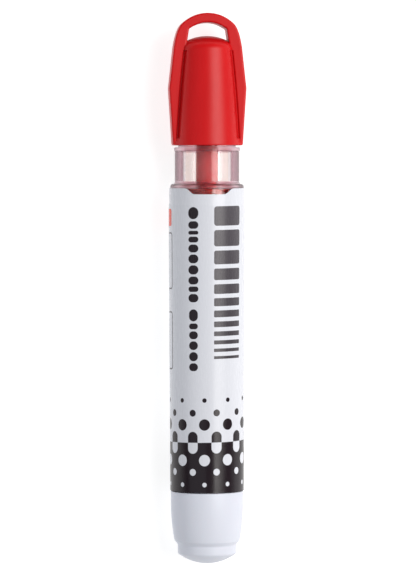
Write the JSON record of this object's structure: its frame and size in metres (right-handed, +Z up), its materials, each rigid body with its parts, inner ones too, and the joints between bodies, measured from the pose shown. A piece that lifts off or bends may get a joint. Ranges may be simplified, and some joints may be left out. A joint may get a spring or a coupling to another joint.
{
  "type": "whiteboard marker",
  "caption": "Round dry-erase marker with a clear barrel and neck, printed label, pull-off cap with flat side rails and a hanging loop, bullet nib and a domed tail plug.",
  "frame": {"origin": "on the table under the middle of the marker's length, as it lies on its side", "axes": "+Y along the marker's axis towards the cap, +Z up through the front of the label, +X across"},
  "size_m": [0.0186, 0.134, 0.0187],
  "materials": {
    "cap": "injection-moulded red plastic, satin to glossy",
    "seal": "soft natural white plastic",
    "clear_barrel": "clear glossy plastic",
    "label_film": "white printed film, satin",
    "holder": "translucent natural plastic",
    "ink_fibre": "bonded fibre soaked with red ink",
    "reservoir_wrap": "thin clear film",
    "tail_plug": "white plastic, satin"
  },
  "bodies": {
    "barrel_body": {"barrel": "clear_barrel", "label": "label_film", "nib_holder": "holder", "nib": "ink_fibre", "feed_wick": "ink_fibre", "reservoir_core": "ink_fibre", "reservoir_film": "reservoir_wrap", "vent_straw": "seal", "tail_plug": "tail_plug"},
    "cap": {"cap_shell": "cap", "cap_liner": "seal"}
  },
  "joints": [
    {"name": "cap_pull", "type": "slide", "parent": "barrel_body", "child": "cap", "axis": [0, 1, 0], "range_m": [0, 0.03]}
  ]
}
